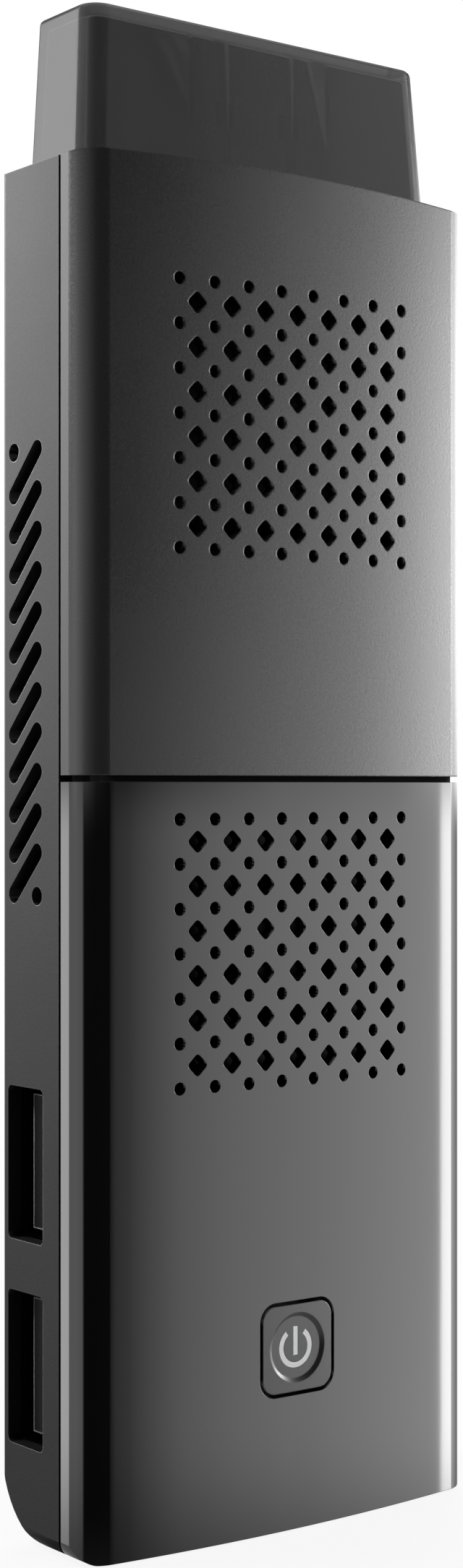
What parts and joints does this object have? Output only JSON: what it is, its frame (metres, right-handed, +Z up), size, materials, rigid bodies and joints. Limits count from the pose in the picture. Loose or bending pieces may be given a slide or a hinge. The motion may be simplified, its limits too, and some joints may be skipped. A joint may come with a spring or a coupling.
{
  "type": "stick computer",
  "caption": "Dark grey stick computer with a crowned vented front, a power key, side ports and a smoke cap over its video plug.",
  "frame": {"origin": "centre of the video plug where it leaves the upper end of the body", "axes": "+X to the right seen from the front, +Y from the crowned front to the flat back, +Z up along the body towards the plug"},
  "size_m": [0.0408, 0.0137, 0.1256],
  "materials": {
    "housing_grey": "fine satin moulded grain",
    "cover_matte": "fine matte moulded grain",
    "cover_gloss": "smooth high gloss",
    "cap_smoke": "smoke-tinted translucent",
    "key_gloss": "smooth satin gloss",
    "symbol_white": "smooth white inlay",
    "lamp_white": "clear moulded lens",
    "moulded_black": "moulded contact carrier",
    "shell_steel": "plated stamped sheet",
    "port_steel": "dark plated sheet",
    "contact_gold": "gold-plated strip",
    "screw_steel": "blackened steel",
    "board_black": "black solder mask",
    "chip_black": "moulded chip package",
    "pad_grey": "soft gap filler",
    "spreader_alloy": "black anodised",
    "coil_grey": "pressed ferrite",
    "can_steel": "dull tinned can",
    "ceramic_pale": "pale ceramic",
    "blower_black": "glass-filled moulding",
    "blower_plate": "black coated sheet",
    "bearing_bronze": "sintered sleeve",
    "winding_copper": "enamelled winding",
    "lead_black": "flat flexible lead"
  },
  "bodies": {
    "case": {"rear_housing": "housing_grey", "upper_cover": "cover_matte", "lower_cover": "cover_gloss", "switch_body": "shell_steel", "status_lamp": "lamp_white", "main_board": "board_black", "board_screws": "screw_steel", "plug_base": "moulded_black", "plug_shell": "shell_steel", "plug_insulator": "moulded_black", "plug_contacts": "contact_gold", "port_shell_upper": "port_steel", "port_tongue_upper": "moulded_black", "port_contacts_upper": "contact_gold", "port_shell_lower": "port_steel", "port_tongue_lower": "moulded_black", "port_contacts_lower": "contact_gold", "inlet_shell": "shell_steel", "inlet_tongue": "moulded_black", "card_cage": "shell_steel", "processor": "chip_black", "thermal_pad": "pad_grey", "heat_spreader": "spreader_alloy", "memory_chips": "chip_black", "storage_chip": "chip_black", "power_chip": "chip_black", "power_coils": "coil_grey", "radio_module": "can_steel", "chip_antennas": "ceramic_pale", "blower_frame": "blower_black", "blower_cover": "blower_plate", "blower_screws": "screw_steel", "fan_bearing": "bearing_bronze", "fan_stator": "winding_copper", "fan_connector": "ceramic_pale", "fan_lead": "lead_black"},
    "cap": {"plug_cap": "cap_smoke"},
    "key": {"power_key": "key_gloss", "power_symbol": "symbol_white", "switch_plunger": "moulded_black"},
    "fan": {"impeller": "blower_black", "fan_shaft": "screw_steel"}
  },
  "joints": [
    {"name": "cap_pull", "type": "slide", "parent": "case", "child": "cap", "axis": [0, 0, 1], "range_m": [0, 0.03]},
    {"name": "key_press", "type": "slide", "parent": "case", "child": "key", "axis": [0, 1, 0], "range_m": [0, 0.0005], "stiffness_N_per_m": 400},
    {"name": "fan_spin", "type": "hinge", "parent": "case", "child": "fan", "pos_m": [0, 0, -0.06465], "axis": [0, 1, 0], "continuous": true}
  ]
}
